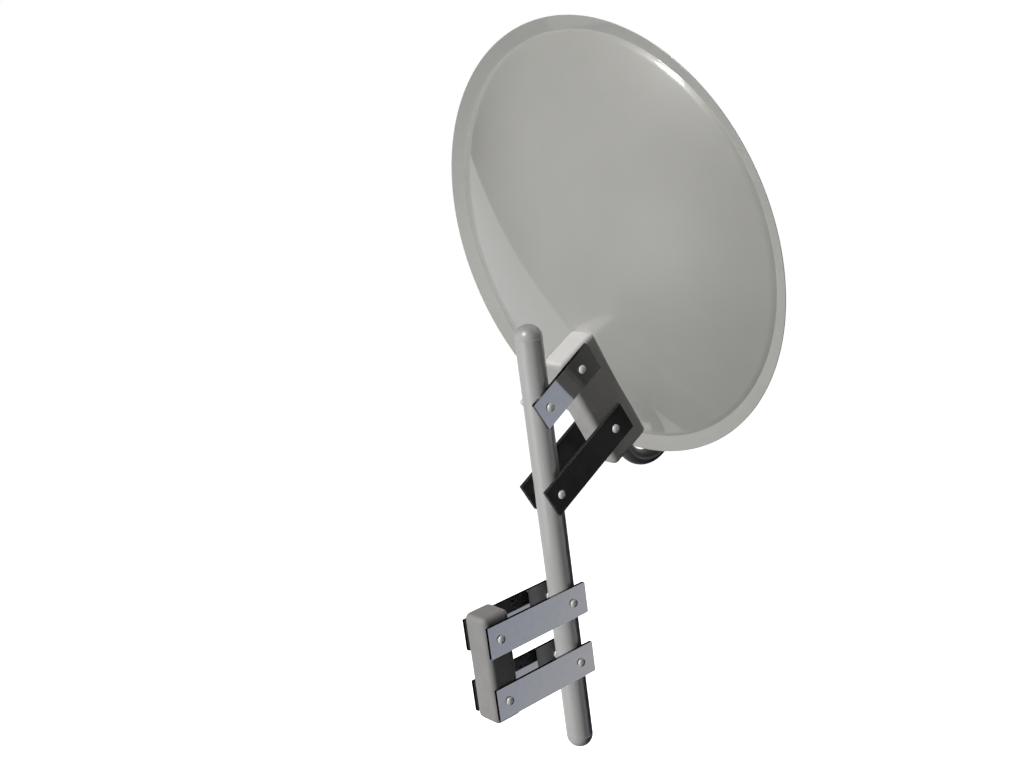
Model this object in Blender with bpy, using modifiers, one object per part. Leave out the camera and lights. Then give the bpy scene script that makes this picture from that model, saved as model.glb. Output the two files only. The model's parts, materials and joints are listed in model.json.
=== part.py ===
"""Wall-mounted satellite dish on a mast, with a linked tilt bracket and a feed arm.

Frame: metres, +Z up, +X away from the wall. The origin is on the wall plane, at the middle
of the wall bracket. The -Y side of the object is called right, the +Y side left.
"""
import math

import bmesh
import bpy
from mathutils import Matrix, Vector

MM = 0.001
GAP = 0.3 * MM

# wall bracket and its straps
WALL_DEPTH = 48 * MM
HALF_WIDTH = 23 * MM
WALL_BOTTOM = -81 * MM
WALL_TOP = 84 * MM
BLOCK_ROUNDING = 9 * MM
STRAP_LEVEL = 48 * MM
STRAP_START = 1.5 * MM
STRAP_END = 190 * MM
STRAP_HALF = 24 * MM
PLATE_THICK = 4.8 * MM
WALL_PIN_X = 22.5 * MM
MAST_PIN_X = 163.5 * MM

# mast
MAST_X = 167 * MM
MAST_RADIUS = 20 * MM
MAST_BORE = 17 * MM
MAST_BOTTOM = -176 * MM
MAST_TOP = 447 * MM

# tilt linkage, pivots as x from the mast axis and z
PIVOT_A = (0 * MM, 348.4 * MM)
PIVOT_B = (0 * MM, 217.1 * MM)
PIVOT_C = (68.1 * MM, 386.0 * MM)
PIVOT_D = (119.8 * MM, 280.8 * MM)
LINK_LOW_END = 21 * MM
LINK_HIGH_END = 29.5 * MM
PIVOT_SPAN = 117.2 * MM

# dish block, measured from the lower pivot in its own tilted frame
BLOCK_TILT = math.radians(26.17)
BLOCK_BACK = -27 * MM
BLOCK_FRONT = 53 * MM
BLOCK_LOW = -54 * MM
BLOCK_HIGH = 144 * MM

# reflector: paraboloid with a folded lip, measured from the plane of its outer edge
DISH_CENTRE = (327.6 * MM, 0.0, 548.4 * MM)
DISH_ELEVATION = math.radians(6.9)
DISH_FOCAL = 270 * MM
DISH_BODY = 302 * MM
DISH_BODY_HEIGHT = 4 * MM
DISH_CREASE = (310 * MM, 10.2 * MM)
DISH_RIM = 331 * MM
SHEET = 1.6 * MM

# bolts
SHANK = 3.9 * MM
HOLE = 4.2 * MM
HEAD = 6.4 * MM
PANEL_SHANK = 2.9 * MM
PANEL_HOLE = 3.4 * MM
SLACK_HOLE = 4.7 * MM

# feed arm and low noise block
ARM_RADIUS = 12 * MM
ARM_BEND = 52 * MM
ARM_OFFSET = 17 * MM
ARM_SOCKET_TOP = -7 * MM
ARM_SCREW_UP = 10 * MM
FEED_DISTANCE = 191 * MM
CLAMP_AT = 44 * MM
CLAMP_HALF = 15 * MM
NECK = 19 * MM
ARM_END_DROP = 33 * MM

STEEL = ("galvanised_steel", (0.40, 0.42, 0.46), 0.42, 1.0)
DARK = ("dark_paint", (0.06, 0.06, 0.062), 0.45, 0.0)
CAST = ("cast_aluminium", (0.45, 0.45, 0.44), 0.50, 0.0)
MAST_PAINT = ("mast_paint", (0.36, 0.36, 0.36), 0.40, 0.0)
BRIGHT = ("polished_steel", (0.75, 0.75, 0.74), 0.20, 1.0)
DISH_PAINT = ("dish_paint", (0.46, 0.46, 0.43), 0.45, 0.0)
BLACK = ("black_plastic", (0.04, 0.04, 0.045), 0.50, 0.0)
ARM_PAINT = ("arm_paint", (0.07, 0.07, 0.075), 0.40, 0.0)
LNB_GREY = ("lnb_plastic", (0.55, 0.55, 0.53), 0.50, 0.0)
LNB_CAP = ("feed_cap_plastic", (0.70, 0.70, 0.66), 0.40, 0.0)

TO_Y = Matrix.Rotation(math.radians(90), 4, "X")


def clear_scene():
    for item in list(bpy.data.objects):
        bpy.data.objects.remove(item, do_unlink=True)


def make_collection(name):
    collection = bpy.data.collections.new(name)
    bpy.context.scene.collection.children.link(collection)
    return collection


clear_scene()
PARTS = make_collection("satellite_dish")
CUTTERS = make_collection("cutters")


def material(spec):
    name, colour, roughness, metallic = spec
    found = bpy.data.materials.get(name)
    if found:
        return found
    made = bpy.data.materials.new(name)
    made.use_nodes = True
    shader = made.node_tree.nodes["Principled BSDF"]
    shader.inputs["Base Color"].default_value = (*colour, 1.0)
    shader.inputs["Roughness"].default_value = roughness
    shader.inputs["Metallic"].default_value = metallic
    return made


def add_mesh(name, mesh, place, spec):
    item = bpy.data.objects.new(name, mesh)
    mesh.materials.append(material(spec))
    PARTS.objects.link(item)
    item.matrix_world = place
    return item


def lathe(name, profile, place, spec, closed=False, steps=20):
    mesh = bpy.data.meshes.new(name)
    count = len(profile)
    edges = [(i, i + 1) for i in range(count - 1)]
    if closed:
        edges.append((count - 1, 0))
    mesh.from_pydata([(r, 0.0, h) for r, h in profile], edges, [])
    item = add_mesh(name, mesh, place, spec)
    screw = item.modifiers.new("turn", "SCREW")
    screw.steps = steps
    screw.render_steps = steps
    screw.use_merge_vertices = True
    screw.merge_threshold = 0.00001
    screw.use_smooth_shade = True
    return item


def arc(centre_r, centre_h, radius, start, end, count):
    points = []
    for i in range(count + 1):
        angle = math.radians(start + (end - start) * i / count)
        points.append((centre_r + radius * math.cos(angle), centre_h + radius * math.sin(angle)))
    return points


def circle(x, y, radius, count=20):
    points = []
    for i in range(count):
        angle = 2 * math.pi * i / count
        points.append((x + radius * math.cos(angle), y + radius * math.sin(angle)))
    return points


def flat_shape(name, outlines, thick, place, spec):
    curve = bpy.data.curves.new(name, "CURVE")
    curve.dimensions = "2D"
    curve.fill_mode = "BOTH"
    curve.extrude = thick / 2
    for outline in outlines:
        spline = curve.splines.new("POLY")
        spline.points.add(len(outline) - 1)
        for point, (x, y) in zip(spline.points, outline):
            point.co = (x, y, 0.0, 1.0)
        spline.use_cyclic_u = True
    holder = bpy.data.objects.new(name + "_curve", curve)
    CUTTERS.objects.link(holder)
    mesh = bpy.data.meshes.new_from_object(holder)
    bpy.data.objects.remove(holder, do_unlink=True)
    weld(mesh)
    return add_mesh(name, mesh, place, spec)


def weld(mesh):
    work = bmesh.new()
    work.from_mesh(mesh)
    bmesh.ops.remove_doubles(work, verts=work.verts, dist=0.00001)
    bmesh.ops.recalc_face_normals(work, faces=work.faces)
    work.to_mesh(mesh)
    work.free()


def rounded_box(name, low, high, rounding, place, spec, segments=3):
    mesh = bpy.data.meshes.new(name)
    work = bmesh.new()
    bmesh.ops.create_cube(work, size=1.0)
    size = Vector(high) - Vector(low)
    middle = (Vector(high) + Vector(low)) / 2
    bmesh.ops.scale(work, vec=size, verts=work.verts)
    bmesh.ops.translate(work, vec=middle, verts=work.verts)
    work.to_mesh(mesh)
    work.free()
    item = add_mesh(name, mesh, place, spec)
    bevel = item.modifiers.new("rounding", "BEVEL")
    bevel.width = rounding
    bevel.segments = segments
    return item


def cylinder_cutter(name, radius, start, end, steps=20):
    mesh = bpy.data.meshes.new(name)
    work = bmesh.new()
    direction = Vector(end) - Vector(start)
    turn = direction.to_track_quat("Z", "Y").to_matrix().to_4x4()
    place = Matrix.Translation((Vector(start) + Vector(end)) / 2) @ turn
    bmesh.ops.create_cone(
        work, cap_ends=True, segments=steps, radius1=radius, radius2=radius,
        depth=direction.length, matrix=place)
    work.to_mesh(mesh)
    work.free()
    return add_cutter(name, mesh)


def add_cutter(name, mesh):
    item = bpy.data.objects.new(name, mesh)
    CUTTERS.objects.link(item)
    item.hide_render = True
    item.display_type = "WIRE"
    return item


def cut(item, cutter, operation="DIFFERENCE"):
    boolean = item.modifiers.new(cutter.name, "BOOLEAN")
    boolean.operation = operation
    boolean.solver = "EXACT"
    boolean.object = cutter


def at(x, y, z):
    return Matrix.Translation((x, y, z))


def pivot(point):
    return Vector((MAST_X + point[0], 0.0, point[1]))


# ---------------------------------------------------------------- fasteners

def dome_bolt(name, x, z, head_y, end_y):
    length = end_y - head_y
    dome = [(0.0, 5 * MM)] + arc(0.0, -2.12 * MM, 7.12 * MM, 75, 18, 4)
    profile = dome + [(SHANK, 0.0), (SHANK, -length), (0.0, -length)]
    profile.insert(len(dome), (HEAD, 0.0))
    return lathe(name, profile, at(x, head_y, z) @ TO_Y, BRIGHT, steps=14)


def dome_nut(name, x, z, base_y):
    outer = [(0.0, 9 * MM)] + arc(0.0, 2.2 * MM, HEAD, 67.5, 0, 4)
    profile = outer + [(HEAD, 0.0), (HOLE, 0.0), (HOLE, 6.6 * MM), (0.0, 6.6 * MM)]
    turn = Matrix.Rotation(math.radians(-90), 4, "X")
    return lathe(name, profile, at(x, base_y, z) @ turn, BRIGHT, steps=14)


def ring_spacer(name, x, z, start_y, end_y, radius):
    length = end_y - start_y
    profile = [(HOLE, length), (radius, length), (radius, 0.0), (HOLE, 0.0)]
    turn = Matrix.Rotation(math.radians(-90), 4, "X")
    return lathe(name, profile, at(x, start_y, z) @ turn, BRIGHT, closed=True, steps=14)


def dome_spacer(name, x, z, side):
    base = HALF_WIDTH
    height = 2.7 * MM
    curve = [(4.9 * MM, height), (6.2 * MM, 0.62 * height), (7.0 * MM, 0.0)]
    profile = [(HOLE, height)] + curve + [(HOLE, 0.0)]
    turn = Matrix.Rotation(math.radians(90 * side), 4, "X")
    return lathe(name, profile, at(x, side * base, z) @ turn, BRIGHT, closed=True, steps=14)


def bolt_pair(label, x, z, nut_y):
    head_y = -(HALF_WIDTH + GAP + PLATE_THICK + GAP)
    dome_bolt(label + "_bolt", x, z, head_y, nut_y + 6 * MM)
    dome_nut(label + "_nut", x, z, nut_y)


# ---------------------------------------------------------------- wall side

def build_wall_bracket():
    item = rounded_box(
        "wall_bracket", (0.0, -HALF_WIDTH, WALL_BOTTOM), (WALL_DEPTH, HALF_WIDTH, WALL_TOP),
        BLOCK_ROUNDING, Matrix.Identity(4), CAST)
    for label, z in (("upper", STRAP_LEVEL), ("lower", -STRAP_LEVEL)):
        start = (WALL_PIN_X, -40 * MM, z)
        end = (WALL_PIN_X, 40 * MM, z)
        cut(item, cylinder_cutter("wall_bore_" + label, HOLE, start, end))


def plate_place(x, y, z, turn):
    return at(x, y, z) @ Matrix.Rotation(-turn, 4, "Y") @ TO_Y


def plate(name, pins, start, end, place, high_hole=HOLE, spec=STEEL):
    outline = [(start, -STRAP_HALF), (end, -STRAP_HALF), (end, STRAP_HALF), (start, STRAP_HALF)]
    holes = [circle(pins[0], 0.0, HOLE, 16), circle(pins[1], 0.0, high_hole, 16)]
    return flat_shape(name, [outline] + holes, PLATE_THICK, place, spec)


def build_wall_straps():
    side_y = HALF_WIDTH + GAP + PLATE_THICK / 2
    nut_y = HALF_WIDTH + 2 * GAP + PLATE_THICK
    for level, z in (("upper", STRAP_LEVEL), ("lower", -STRAP_LEVEL)):
        for side, y in (("right", -side_y), ("left", side_y)):
            place = plate_place(0.0, y, z, 0.0)
            name = "wall_strap_" + level + "_" + side
            plate(name, [WALL_PIN_X, MAST_PIN_X], STRAP_START, STRAP_END, place)
        bolt_pair("wall_" + level, WALL_PIN_X, z, nut_y)
        bolt_pair("mast_" + level, MAST_PIN_X, z, nut_y)
        dome_spacer("mast_spacer_" + level + "_right", MAST_PIN_X, z, -1)
        dome_spacer("mast_spacer_" + level + "_left", MAST_PIN_X, z, 1)


# ---------------------------------------------------------------- mast

def build_mast():
    profile = [
        (MAST_BORE, MAST_TOP), (MAST_RADIUS, MAST_TOP),
        (MAST_RADIUS, MAST_BOTTOM), (MAST_BORE, MAST_BOTTOM)]
    item = lathe("mast_tube", profile, at(MAST_X, 0, 0), MAST_PAINT, closed=True, steps=32)
    bores = [
        ("strap_upper", MAST_PIN_X - MAST_X, STRAP_LEVEL),
        ("strap_lower", MAST_PIN_X - MAST_X, -STRAP_LEVEL),
        ("link_upper", PIVOT_A[0], PIVOT_A[1]),
        ("link_lower", PIVOT_B[0], PIVOT_B[1])]
    for label, x, z in bores:
        start = (MAST_X + x, -30 * MM, z)
        end = (MAST_X + x, 30 * MM, z)
        cut(item, cylinder_cutter("mast_bore_" + label, HOLE, start, end))
    build_mast_cap("mast_cap_top", MAST_TOP + GAP, 0)
    build_mast_cap("mast_cap_bottom", MAST_BOTTOM - GAP, 180)


def build_mast_cap(name, z, turn):
    plug = MAST_BORE - GAP
    dome = [(0.0, MAST_RADIUS)] + arc(0.0, 0.0, MAST_RADIUS, 75, 0, 5)
    profile = dome + [(plug, 0.0), (plug, -16 * MM), (0.0, -16 * MM)]
    place = at(MAST_X, 0, z) @ Matrix.Rotation(math.radians(turn), 4, "X")
    lathe(name, profile, place, MAST_PAINT, steps=24)


# ---------------------------------------------------------------- tilt linkage

def link_between(name, low, high, y, high_hole=HOLE, spec=STEEL):
    first = pivot(low)
    second = pivot(high)
    reach = second - first
    turn = math.atan2(reach.z, reach.x)
    place = plate_place(first.x, y, first.z, turn)
    end = reach.length + LINK_HIGH_END
    plate(name, [0.0, reach.length], -LINK_LOW_END, end, place, high_hole, spec)


def build_links():
    side_y = HALF_WIDTH + GAP + PLATE_THICK / 2
    nut_y = HALF_WIDTH + 2 * GAP + PLATE_THICK
    inner = MAST_RADIUS + GAP
    link_between("tilt_link_upper", PIVOT_A, PIVOT_C, -side_y, SLACK_HOLE)
    link_between("tilt_link_lower_right", PIVOT_B, PIVOT_D, -side_y, spec=DARK)
    link_between("tilt_link_lower_left", PIVOT_B, PIVOT_D, side_y, spec=DARK)
    first = pivot(PIVOT_A)
    bolt_pair("link_upper_mast", first.x, first.z, 25.3 * MM)
    ring_spacer("link_spacer_upper_right", first.x, first.z, -HALF_WIDTH, -inner, 7 * MM)
    ring_spacer("link_spacer_upper_left", first.x, first.z, inner, 25 * MM, 6 * MM)
    second = pivot(PIVOT_B)
    bolt_pair("link_lower_mast", second.x, second.z, nut_y)
    ring_spacer("link_spacer_lower_right", second.x, second.z, -HALF_WIDTH, -inner, 7 * MM)
    ring_spacer("link_spacer_lower_left", second.x, second.z, inner, HALF_WIDTH, 7 * MM)
    third = pivot(PIVOT_C)
    bolt_pair("link_upper_block", third.x, third.z, HALF_WIDTH + GAP)
    fourth = pivot(PIVOT_D)
    bolt_pair("link_lower_block", fourth.x, fourth.z, nut_y)


def block_place():
    point = pivot(PIVOT_D)
    return at(point.x, 0.0, point.z) @ Matrix.Rotation(-BLOCK_TILT, 4, "Y")


def dish_place():
    turn = math.radians(90) - DISH_ELEVATION
    return Matrix.Translation(DISH_CENTRE) @ Matrix.Rotation(turn, 4, "Y")


def back_height(radius):
    rise = (DISH_BODY ** 2 - radius ** 2) / (4 * DISH_FOCAL)
    return DISH_BODY_HEIGHT - rise


def back_points():
    radii = [0.0, 45, 90, 135, 175, 210, 243, 274, 302]
    points = [(r * MM, back_height(r * MM)) for r in radii[:-1]]
    points[0] = (0.0, back_height(0.0))
    points.append((DISH_BODY, DISH_BODY_HEIGHT))
    points.append((306.5 * MM, 7.4 * MM))
    points.append(DISH_CREASE)
    points.append((DISH_RIM, 0.0))
    return points


def offset_points(points, distance):
    made = []
    for i, (r, h) in enumerate(points):
        before = points[max(i - 1, 0)]
        after = points[min(i + 1, len(points) - 1)]
        along = Vector((after[0] - before[0], after[1] - before[1])).normalized()
        if i == 0:
            along = Vector((1.0, 0.0))
        made.append((r - along.y * distance, h + along.x * distance))
    return made


def surface_cutter(place):
    points = [(r, h - 0.4 * MM) for r, h in back_points()[:-3]]
    profile = [(0.0, 60 * MM), (points[-1][0], 60 * MM)] + list(reversed(points))
    mesh = bpy.data.meshes.new("reflector_shape")
    edges = [(i, i + 1) for i in range(len(profile) - 1)]
    mesh.from_pydata([(r, 0.0, h) for r, h in profile], edges, [])
    item = add_cutter("reflector_shape", mesh)
    item.matrix_world = place
    screw = item.modifiers.new("turn", "SCREW")
    screw.steps = 64
    screw.render_steps = 64
    screw.use_merge_vertices = True
    screw.merge_threshold = 0.00001
    return item


def panel_spots():
    return [(y, z) for z in (0 * MM, 96 * MM) for y in (-13 * MM, 13 * MM)]


def front_reach(y, z):
    """Distance along the block's own +X at which a line meets the front of the sheet."""
    frame = dish_place().inverted() @ block_place()
    low = 30 * MM
    high = 90 * MM
    for _ in range(40):
        middle = (low + high) / 2
        point = frame @ Vector((middle, y, z))
        radius = math.hypot(point.x, point.y)
        if point.z < back_height(radius) + SHEET * 1.06:
            low = middle
        else:
            high = middle
    return high


def build_dish_block():
    low = (BLOCK_BACK, -HALF_WIDTH, BLOCK_LOW)
    high = (BLOCK_FRONT, HALF_WIDTH, BLOCK_HIGH)
    place = block_place()
    item = rounded_box("dish_block", low, high, BLOCK_ROUNDING, place, CAST)
    cut(item, surface_cutter(dish_place()))
    for label, z in (("upper", PIVOT_SPAN), ("lower", 0.0)):
        cutter = cylinder_cutter(
            "block_bore_" + label, HOLE, (0, -40 * MM, z), (0, 40 * MM, z))
        cutter.matrix_world = place
        cut(item, cutter)
    socket = cylinder_cutter(
        "arm_socket", ARM_RADIUS + GAP, (ARM_OFFSET, 0, BLOCK_LOW - 10 * MM),
        (ARM_OFFSET, 0, ARM_SOCKET_TOP + GAP), 24)
    socket.matrix_world = place
    cut(item, socket)
    screw_z = BLOCK_LOW + ARM_SCREW_UP
    screw = cylinder_cutter(
        "arm_screw_bore", PANEL_SHANK + GAP, (ARM_OFFSET, 6 * MM, screw_z),
        (ARM_OFFSET, 40 * MM, screw_z), 12)
    screw.matrix_world = place
    cut(item, screw)
    for i, (y, z) in enumerate(panel_spots()):
        bore = cylinder_cutter(
            "panel_bore_%d" % (i + 1), PANEL_SHANK + GAP, (28 * MM, y, z), (80 * MM, y, z), 12)
        bore.matrix_world = place
        cut(item, bore)


def build_reflector():
    back = back_points()
    front = offset_points(back, SHEET)
    front[0] = (0.0, back[0][1] + SHEET)
    profile = front + list(reversed(back))
    item = lathe("reflector", profile, dish_place(), DISH_PAINT, steps=64)
    for i, (y, z) in enumerate(panel_spots()):
        bore = cylinder_cutter(
            "sheet_bore_%d" % (i + 1), PANEL_HOLE, (35 * MM, y, z), (80 * MM, y, z), 12)
        bore.matrix_world = block_place()
        cut(item, bore)


def screw_along(name, place, radius, length, head, steps=12):
    """Screw with a low domed head: the head points along +Z, its seat is at the origin."""
    high = 0.55 * head
    top = [(0.0, high), (0.55 * head, 0.86 * high), (0.9 * head, 0.4 * high), (head, 0.0)]
    profile = top + [(radius, 0.0), (radius, -length), (0.0, -length)]
    return lathe(name, profile, place, BRIGHT, steps=steps)


def build_panel_bolts():
    to_x = Matrix.Rotation(math.radians(90), 4, "Y")
    for i, (y, z) in enumerate(panel_spots()):
        seat = front_reach(y, z) + 1.0 * MM
        place = block_place() @ at(seat, y, z) @ to_x
        screw_along("panel_bolt_%d" % (i + 1), place, PANEL_SHANK, 20 * MM, 6 * MM)


# ---------------------------------------------------------------- feed arm

def holder_place():
    """Frame of the feed clamp: local X points away from the reflector, Z up."""
    frame = Matrix.Rotation(-DISH_ELEVATION, 4, "Y")
    reach = FEED_DISTANCE + CLAMP_AT
    middle = Vector(DISH_CENTRE) + frame @ Vector((reach, 0.0, 0.0))
    return Matrix.Translation(middle) @ frame


def arm_path():
    """Centre line of the arm: socket, bend under the rim, straight run to the clamp."""
    place = block_place()
    start = place @ Vector((ARM_OFFSET, 0.0, ARM_SOCKET_TOP))
    bend_start = place @ Vector((ARM_OFFSET, 0.0, BLOCK_LOW - 4.8 * MM))
    heading = -(math.radians(90) - BLOCK_TILT)
    centre = bend_start + ARM_BEND * Vector((-math.sin(heading), 0.0, math.cos(heading)))
    goal = holder_place() @ Vector((0.0, 0.0, -ARM_END_DROP))
    reach = goal - centre
    final = math.atan2(reach.z, reach.x) + math.asin(ARM_BEND / reach.length)
    points = [start]
    count = 12
    for i in range(count + 1):
        angle = heading + (final - heading) * i / count
        points.append(centre + ARM_BEND * Vector((math.sin(angle), 0.0, -math.cos(angle))))
    points.append(goal)
    return points, final


def build_arm():
    points, _ = arm_path()
    curve = bpy.data.curves.new("feed_arm", "CURVE")
    curve.dimensions = "3D"
    curve.bevel_depth = ARM_RADIUS
    curve.bevel_resolution = 3
    curve.use_fill_caps = True
    spline = curve.splines.new("POLY")
    spline.points.add(len(points) - 1)
    for point, co in zip(spline.points, points):
        point.co = (co.x, co.y, co.z, 1.0)
    holder = bpy.data.objects.new("feed_arm_curve", curve)
    CUTTERS.objects.link(holder)
    mesh = bpy.data.meshes.new_from_object(holder)
    bpy.data.objects.remove(holder, do_unlink=True)
    weld(mesh)
    for face in mesh.polygons:
        face.use_smooth = True
    add_mesh("feed_arm", mesh, Matrix.Identity(4), ARM_PAINT)
    seat = at(ARM_OFFSET, HALF_WIDTH + GAP, BLOCK_LOW + ARM_SCREW_UP)
    turn = Matrix.Rotation(math.radians(-90), 4, "X")
    place = block_place() @ seat @ turn
    screw_along("arm_screw", place, PANEL_SHANK, 10.9 * MM, 5 * MM)


def cap_outline():
    inner = arc(0.0, 0.0, NECK + GAP, 0, 180, 12)
    outer = arc(0.0, 0.0, NECK + 6 * MM, 163, 17, 10)
    shift = 0.2 * MM
    ear = 7 * MM
    points = [(x, y + shift) for x, y in inner]
    points += [(-34 * MM, shift), (-34 * MM, ear)]
    points += [(x, max(y, ear) + shift) for x, y in outer]
    points += [(34 * MM, ear), (34 * MM, shift)]
    return points


def clamp_frame():
    turn = Matrix(((0, 0, 1, 0), (1, 0, 0, 0), (0, 1, 0, 0), (0, 0, 0, 1)))
    return holder_place() @ turn


def build_clamp():
    bores = [(-30 * MM, "right"), (30 * MM, "left")]
    cap = flat_shape("clamp_cap", [cap_outline()], 2 * CLAMP_HALF, clamp_frame(), BLACK)
    cradle = flat_shape(
        "clamp_cradle", [cradle_outline()], 2 * CLAMP_HALF, clamp_frame(), BLACK)
    for y, label in bores:
        cutter = cylinder_cutter(
            "clamp_bore_" + label, 2.4 * MM, (0, y, -20 * MM), (0, y, 20 * MM), 12)
        cutter.matrix_world = holder_place()
        cut(cap, cutter)
        cut(cradle, cutter)
        seat = holder_place() @ at(0, y, 8 * MM)
        screw_along("clamp_screw_" + label, seat, 2.0 * MM, 16 * MM, 4.4 * MM)
    points, final = arm_path()
    direction = Vector((math.cos(final), 0.0, math.sin(final)))
    goal = points[-1]
    socket = cylinder_cutter(
        "cradle_socket", ARM_RADIUS + GAP, goal - direction * 60 * MM,
        goal + direction * GAP, 24)
    cut(cradle, socket)


def cradle_outline():
    inner = arc(0.0, -0.2 * MM, NECK + GAP, 180, 360, 12)
    points = [(34 * MM, -0.2 * MM), (34 * MM, -7 * MM), (25 * MM, -7 * MM)]
    points += [(17 * MM, -22 * MM), (17 * MM, -54 * MM)]
    points += [(-17 * MM, -54 * MM), (-17 * MM, -22 * MM)]
    points += [(-25 * MM, -7 * MM), (-34 * MM, -7 * MM), (-34 * MM, -0.2 * MM)]
    return inner + points


def build_lnb():
    turn = Matrix.Rotation(math.radians(-90), 4, "Y")
    base = holder_place() @ at(-CLAMP_AT, 0, 0)
    horn = [
        (0.0, 0.0), (27 * MM, 0.0), (27 * MM, -12 * MM), (NECK, -24 * MM),
        (NECK, -66 * MM), (0.0, -66 * MM)]
    body = rounded_box(
        "lnb_body", (62 * MM, -24 * MM, -34 * MM), (112 * MM, 24 * MM, 24 * MM),
        6 * MM, base, LNB_GREY, 2)
    mesh = bpy.data.meshes.new("lnb_horn")
    edges = [(i, i + 1) for i in range(len(horn) - 1)]
    mesh.from_pydata([(r, 0.0, h) for r, h in horn], edges, [])
    cutter = add_cutter("lnb_horn", mesh)
    cutter.matrix_world = base @ turn
    screw = cutter.modifiers.new("turn", "SCREW")
    screw.steps = 24
    screw.render_steps = 24
    screw.use_merge_vertices = True
    screw.merge_threshold = 0.00001
    cut(body, cutter, "UNION")
    cap = [
        (0.0, 2.6 * MM), (26 * MM, 2.6 * MM), (29 * MM, 0.6 * MM), (29 * MM, -9 * MM),
        (27.3 * MM, -9 * MM), (27.3 * MM, 0.3 * MM), (0.0, 0.3 * MM)]
    lathe("feed_cap", cap, base @ turn, LNB_CAP, steps=24)
    connector = [
        (0.0, 0.0), (7 * MM, 0.0), (7 * MM, -5 * MM), (4.8 * MM, -5.5 * MM),
        (4.8 * MM, -16 * MM), (0.0, -16 * MM)]
    seat = base @ at(96 * MM, 0, -34 * MM - GAP)
    lathe("f_connector", connector, seat, BRIGHT, steps=14)


build_wall_bracket()
build_wall_straps()
build_mast()
build_links()
build_dish_block()
build_reflector()
build_panel_bolts()
build_arm()
build_clamp()
build_lnb()
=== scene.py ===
"""Looks of the wall-mounted satellite dish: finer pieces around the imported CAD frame.

Metres, +X away from the wall, +Z up. The -Y side is called right, the +Y side left.
"""
import json
import math

import bmesh
import bpy
from mathutils import Matrix, Vector


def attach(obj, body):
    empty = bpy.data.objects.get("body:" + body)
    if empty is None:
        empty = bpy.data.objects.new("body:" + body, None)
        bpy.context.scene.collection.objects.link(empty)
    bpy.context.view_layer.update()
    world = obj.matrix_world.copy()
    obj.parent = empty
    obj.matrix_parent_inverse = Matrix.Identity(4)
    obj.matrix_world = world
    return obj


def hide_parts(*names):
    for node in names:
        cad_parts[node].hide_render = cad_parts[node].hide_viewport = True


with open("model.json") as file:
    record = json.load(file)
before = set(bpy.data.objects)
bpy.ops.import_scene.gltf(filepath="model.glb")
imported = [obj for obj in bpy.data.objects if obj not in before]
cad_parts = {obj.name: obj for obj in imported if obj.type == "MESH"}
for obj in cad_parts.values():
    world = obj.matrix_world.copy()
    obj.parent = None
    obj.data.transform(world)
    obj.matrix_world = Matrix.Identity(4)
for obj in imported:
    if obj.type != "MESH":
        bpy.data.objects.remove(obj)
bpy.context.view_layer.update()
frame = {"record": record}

MM = 0.001
GAP = 0.3 * MM
THROUGH = 40 * MM

# wall bracket, straps and mast
WALL_DEPTH = 48 * MM
HALF_WIDTH = 23 * MM
WALL_BOTTOM = -81 * MM
WALL_TOP = 84 * MM
BLOCK_ROUNDING = 9 * MM
STRAP_LEVEL = 48 * MM
STRAP_START = 1.5 * MM
STRAP_END = 190 * MM
STRAP_HALF = 24 * MM
PLATE_THICK = 4.8 * MM
WALL_PIN_X = 22.5 * MM
MAST_PIN_X = 163.5 * MM
MAST_X = 167 * MM
MAST_RADIUS = 20 * MM
MAST_BORE = 17 * MM
MAST_BOTTOM = -176 * MM
MAST_TOP = 447 * MM
PLUG_LENGTH = 16 * MM

# tilt linkage, pivots as x from the mast axis and z
PIVOT_A = (0.0, 348.4 * MM)
PIVOT_B = (0.0, 217.1 * MM)
PIVOT_C = (68.1 * MM, 386.0 * MM)
PIVOT_D = (119.8 * MM, 280.8 * MM)
LINK_LOW_END = 21 * MM
LINK_HIGH_END = 29.5 * MM
PIVOT_SPAN = 117.2 * MM
UPPER_NUT_Y = 25.3 * MM

# dish block, measured from the lower pivot in its own tilted frame
BLOCK_TILT = math.radians(26.17)
BLOCK_LOW = Vector((-27 * MM, -HALF_WIDTH, -54 * MM))
BLOCK_HIGH = Vector((53 * MM, HALF_WIDTH, 144 * MM))
PANEL_SPOTS = [(y, z) for z in (0.0, 96 * MM) for y in (-13 * MM, 13 * MM)]

# reflector: paraboloid, rounded shoulder, crease and folded lip
DISH_CENTRE = (327.6 * MM, 0.0, 548.4 * MM)
DISH_ELEVATION = math.radians(6.9)
DISH_FOCAL = 270 * MM
DISH_BODY = 302 * MM
DISH_BODY_HEIGHT = 4 * MM
SHEET = 1.6 * MM
SLOPE_SHARE = 1.06
FRONT_SEARCH = (30 * MM, 90 * MM)

# fasteners
SHANK = 3.9 * MM
HOLE = 4.2 * MM
HEAD = 6.4 * MM
HEAD_HEIGHT = 5 * MM
NUT_HEIGHT = 9 * MM
NUT_BASE = 3.4 * MM
NUT_DEPTH = 6.6 * MM
NUT_RADIUS = 5.4 * MM
BOLT_PAST_NUT_SEAT = 6 * MM
PANEL_SHANK = 2.9 * MM
PANEL_HOLE = 3.4 * MM
PANEL_LENGTH = 20 * MM
PANEL_HEAD = 6 * MM
ARM_SCREW_LENGTH = 10.9 * MM
ARM_SCREW_HEAD = 5 * MM
CLAMP_SHANK = 2.0 * MM
CLAMP_HOLE = 2.4 * MM
CLAMP_LENGTH = 16 * MM
CLAMP_HEAD = 4.4 * MM
SPACER_RADIUS = 7 * MM
SMALL_SPACER_RADIUS = 6 * MM
DOME_SPACER_HEIGHT = 2.7 * MM
SLACK_HOLE = 4.7 * MM

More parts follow.
